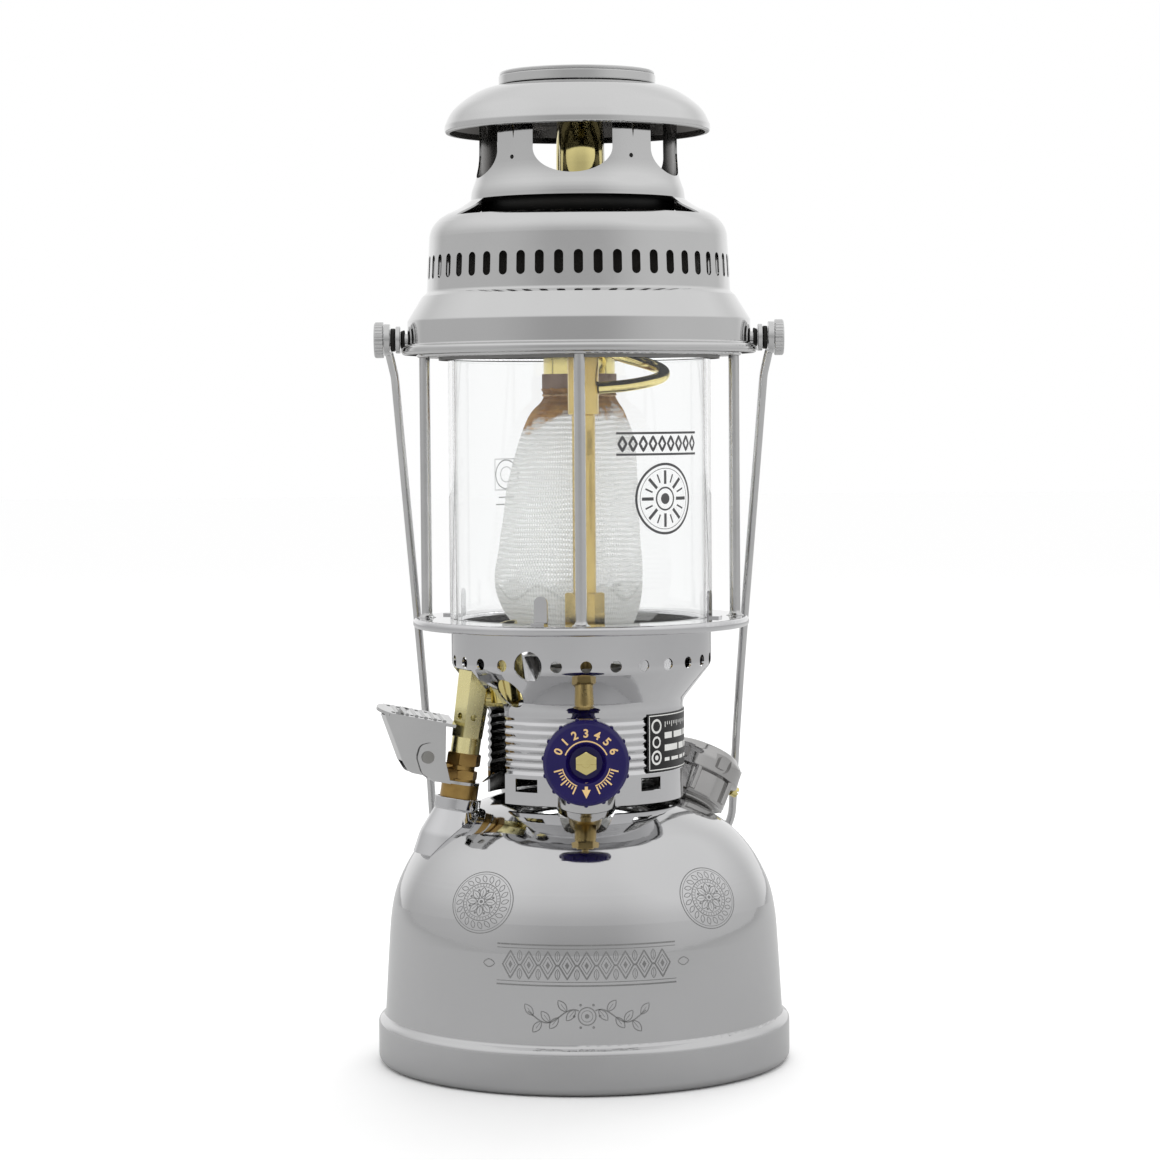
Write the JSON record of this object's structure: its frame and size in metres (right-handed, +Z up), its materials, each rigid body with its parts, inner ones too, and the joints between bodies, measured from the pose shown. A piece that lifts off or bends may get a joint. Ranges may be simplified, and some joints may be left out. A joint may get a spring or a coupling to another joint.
{
  "type": "kerosene pressure lantern",
  "caption": "Kerosene pressure lantern: round fuel tank, ribbed cage, glass cylinder with mantle, vented hood, swinging bail, control wheel, pump and torch preheater.",
  "frame": {"origin": "centre of the tank's foot, on the ground", "axes": "+Z up along the lantern's axis, -Y towards the control wheel, +X towards the filler cap's side"},
  "size_m": [0.1686, 0.1686, 0.402],
  "materials": {
    "nickel": "polished nickel plate",
    "brass": "polished brass",
    "glass": "clear polished glass",
    "wheel_blue": "gloss moulded plastic",
    "label_black": "satin enamel",
    "ceramic": "unglazed fired clay",
    "mantle_gauze": "knitted gauze",
    "pump_leather": "oiled leather",
    "gasket_rubber": "matte rubber",
    "dial_white": "printed enamel",
    "pointer_black": "matte paint",
    "steel": "plain steel"
  },
  "bodies": {
    "lantern": {"burner_bridge": "brass", "cage_base": "nickel", "cage_pillars": "nickel", "cage_ring": "nickel", "cage_top_ring": "nickel", "ceramic_nozzle": "ceramic", "dip_tube": "brass", "filler_neck": "nickel", "flame_tube": "brass", "fuel_tank": "nickel", "glass_tabs": "nickel", "globe_glass": "glass", "inner_casing": "steel", "jet": "brass", "label_plate": "label_black", "lever_bracket": "nickel", "lever_pin": "steel", "mantle": "mantle_gauze", "mantle_tie": "mantle_gauze", "mixing_chamber": "brass", "mixing_tube": "brass", "packing_nut": "brass", "pivot_studs": "nickel", "preheater_boss": "nickel", "preheater_valve": "brass", "pump_barrel": "brass", "pump_boss": "nickel", "pump_cap": "nickel", "pump_valve": "brass", "spirit_cup": "brass", "tank_bottom": "nickel", "torch_body": "brass", "torch_elbow": "brass", "vaporizer_base": "brass", "vaporizer_boss": "brass", "vaporizer_loop": "brass", "vaporizer_nut": "brass", "vaporizer_tube": "brass"},
    "bail": {"bail": "nickel"},
    "knob_left": {"knob_left": "nickel"},
    "knob_right": {"knob_right": "nickel"},
    "control": {"valve_spindle": "brass", "handwheel": "wheel_blue", "handwheel_nut": "brass"},
    "needle": {"cleaning_rod": "steel"},
    "lever": {"preheater_lever": "nickel"},
    "plunger": {"preheater_plunger": "brass"},
    "filler": {"filler_cap": "nickel", "filler_gasket": "gasket_rubber", "gauge_dial": "dial_white", "gauge_glass": "glass"},
    "pointer": {"gauge_pointer": "pointer_black"},
    "bleed": {"bleed_screw": "brass"},
    "pump": {"pump_rod": "steel", "pump_knob": "nickel", "pump_leather": "pump_leather"},
    "hood": {"hood": "nickel", "chimney_collar": "nickel", "hood_cap": "nickel", "cap_disc": "nickel"}
  },
  "joints": [
    {"name": "bail_swing", "type": "hinge", "parent": "lantern", "child": "bail", "pos_m": [0, 0, 0.2943], "axis": [1, 0, 0], "range_deg": [0, 320]},
    {"name": "knob_left_turn", "type": "hinge", "parent": "lantern", "child": "knob_left", "pos_m": [-0.08, 0, 0.2943], "axis": [-1, 0, 0], "range_deg": [0, 360]},
    {"name": "knob_right_turn", "type": "hinge", "parent": "lantern", "child": "knob_right", "pos_m": [0.08, 0, 0.2943], "axis": [1, 0, 0], "range_deg": [0, 360]},
    {"name": "wheel_turn", "type": "hinge", "parent": "lantern", "child": "control", "pos_m": [0.0015, -0.06, 0.1285], "axis": [0, -1, 0], "range_deg": [0, 180]},
    {"name": "needle_lift", "type": "slide", "parent": "lantern", "child": "needle", "axis": [0, 0, 1], "range_m": [0, 0.00402]},
    {"name": "lever_press", "type": "hinge", "parent": "lantern", "child": "lever", "pos_m": [-0.06379, -0.0195, 0.1262], "axis": [0.2924, -0.9563, 0], "range_deg": [0, 30], "stiffness_Nm_per_rad": 0.05, "springref_deg": -5.73},
    {"name": "plunger_press", "type": "slide", "parent": "lantern", "child": "plunger", "axis": [0.9563, 0.2924, 0], "range_m": [0, 0.0021]},
    {"name": "filler_lift", "type": "slide", "parent": "lantern", "child": "filler", "axis": [0.3768, 0.3051, 0.8746], "range_m": [0, 0.013]},
    {"name": "gauge_turn", "type": "hinge", "parent": "filler", "child": "pointer", "pos_m": [0.04212, 0.03411, 0.0971], "axis": [-0.3768, -0.3051, -0.8746], "range_deg": [0, 240]},
    {"name": "bleed_turn", "type": "hinge", "parent": "filler", "child": "bleed", "pos_m": [0.063, 0.0462, 0.10378], "axis": [0.7957, 0.3768, -0.4742], "range_deg": [0, 360]},
    {"name": "pump_stroke", "type": "slide", "parent": "lantern", "child": "pump", "axis": [-0.1281, 0.352, 0.9272], "range_m": [0, 0.06]},
    {"name": "hood_lift", "type": "slide", "parent": "lantern", "child": "hood", "axis": [0, 0, 1], "range_m": [0, 0.12]}
  ],
  "couplings": [
    {"joint": "needle_lift", "follows": "wheel_turn", "m_per_rad": 0.0012732},
    {"joint": "plunger_press", "follows": "lever_press", "m_per_rad": 0.004}
  ]
}
